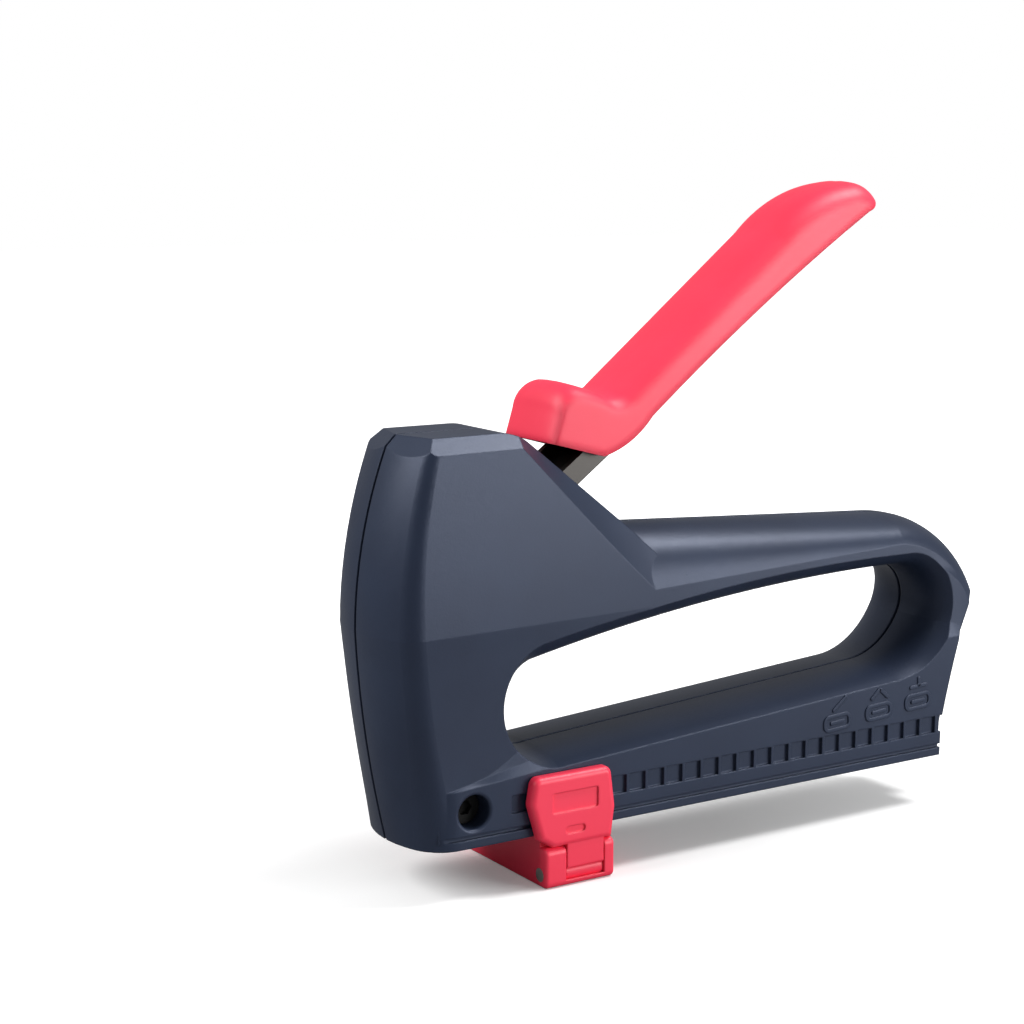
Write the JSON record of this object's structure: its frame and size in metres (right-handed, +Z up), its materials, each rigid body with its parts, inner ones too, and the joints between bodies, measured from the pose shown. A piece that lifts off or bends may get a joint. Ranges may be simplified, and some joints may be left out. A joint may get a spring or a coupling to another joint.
{
  "type": "hand staple gun",
  "caption": "Hand-squeezed staple gun: dark moulded body with finger loop and index rail, red handle on a steel lever, spring driver, rear-loading magazine, red sliding edge guide with clasp.",
  "frame": {"origin": "middle of the nose plate's foot, on the plane of the flat underside of the nose", "axes": "+X to the rear along the magazine, +Y across the tool to the side of the screws, +Z up"},
  "size_m": [0.1645, 0.036, 0.1475],
  "materials": {
    "body_plastic": "satin moulded, dark blue-grey",
    "red_plastic": "semi-gloss moulded, red",
    "inner_plastic": "moulded, black",
    "steel": "bright zinc plated",
    "spring_steel": "drawn wire",
    "black_steel": "black oxide",
    "rubber": "moulded"
  },
  "bodies": {
    "frame": {"housing_left": "body_plastic", "housing_right": "body_plastic", "housing_screws": "black_steel", "magazine_screws": "black_steel", "nose_plate": "steel", "blade_guide": "inner_plastic", "magazine_channel": "steel", "staple_rail": "steel", "bumper": "rubber", "spring_cap": "inner_plastic", "main_spring": "spring_steel", "pivot_pin": "steel", "pivot_bushes": "inner_plastic"},
    "lever": {"lever_channel": "steel", "handle_grip": "red_plastic", "grip_screws": "steel", "lift_pin": "steel", "pivot_spacer": "inner_plastic", "return_spring": "spring_steel"},
    "driver": {"plunger": "steel", "driver_blade": "steel", "plunger_rivets": "steel"},
    "loader": {"magazine_cap": "inner_plastic", "guide_rod": "steel", "pusher_spring": "spring_steel"},
    "follower": {"pusher": "steel"},
    "guide": {"guide_bar": "red_plastic", "clasp_pin": "steel"},
    "guide_clasp": {"clasp": "red_plastic"}
  },
  "joints": [
    {"name": "handle_squeeze", "type": "hinge", "parent": "frame", "child": "lever", "pos_m": [0.026, 0, 0.064], "axis": [0, 1, 0], "range_deg": [0, 29], "stiffness_Nm_per_rad": 1.5, "springref_deg": -20.05, "deforming": ["return_spring"]},
    {"name": "plunger_lift", "type": "slide", "parent": "frame", "child": "driver", "axis": [0, 0, 1], "range_m": [0, 0.0112], "deforming": ["main_spring"]},
    {"name": "magazine_slide", "type": "slide", "parent": "frame", "child": "loader", "axis": [1, 0, 0], "range_m": [0, 0.095]},
    {"name": "pusher_slide", "type": "slide", "parent": "loader", "child": "follower", "axis": [1, 0, 0], "range_m": [0, 0.085], "stiffness_N_per_m": 10, "springref_m": -0.06, "deforming": ["pusher_spring"]},
    {"name": "guide_slide", "type": "slide", "parent": "frame", "child": "guide", "axis": [1, 0, 0], "range_m": [-0.003, 0.092]},
    {"name": "clasp_hinge", "type": "hinge", "parent": "guide", "child": "guide_clasp", "pos_m": [0.0323, -0.0148, -0.0089], "axis": [1, 0, 0], "range_deg": [0, 45]}
  ],
  "couplings": [
    {"joint": "plunger_lift", "follows": "handle_squeeze", "m_per_rad": 0.0219}
  ]
}
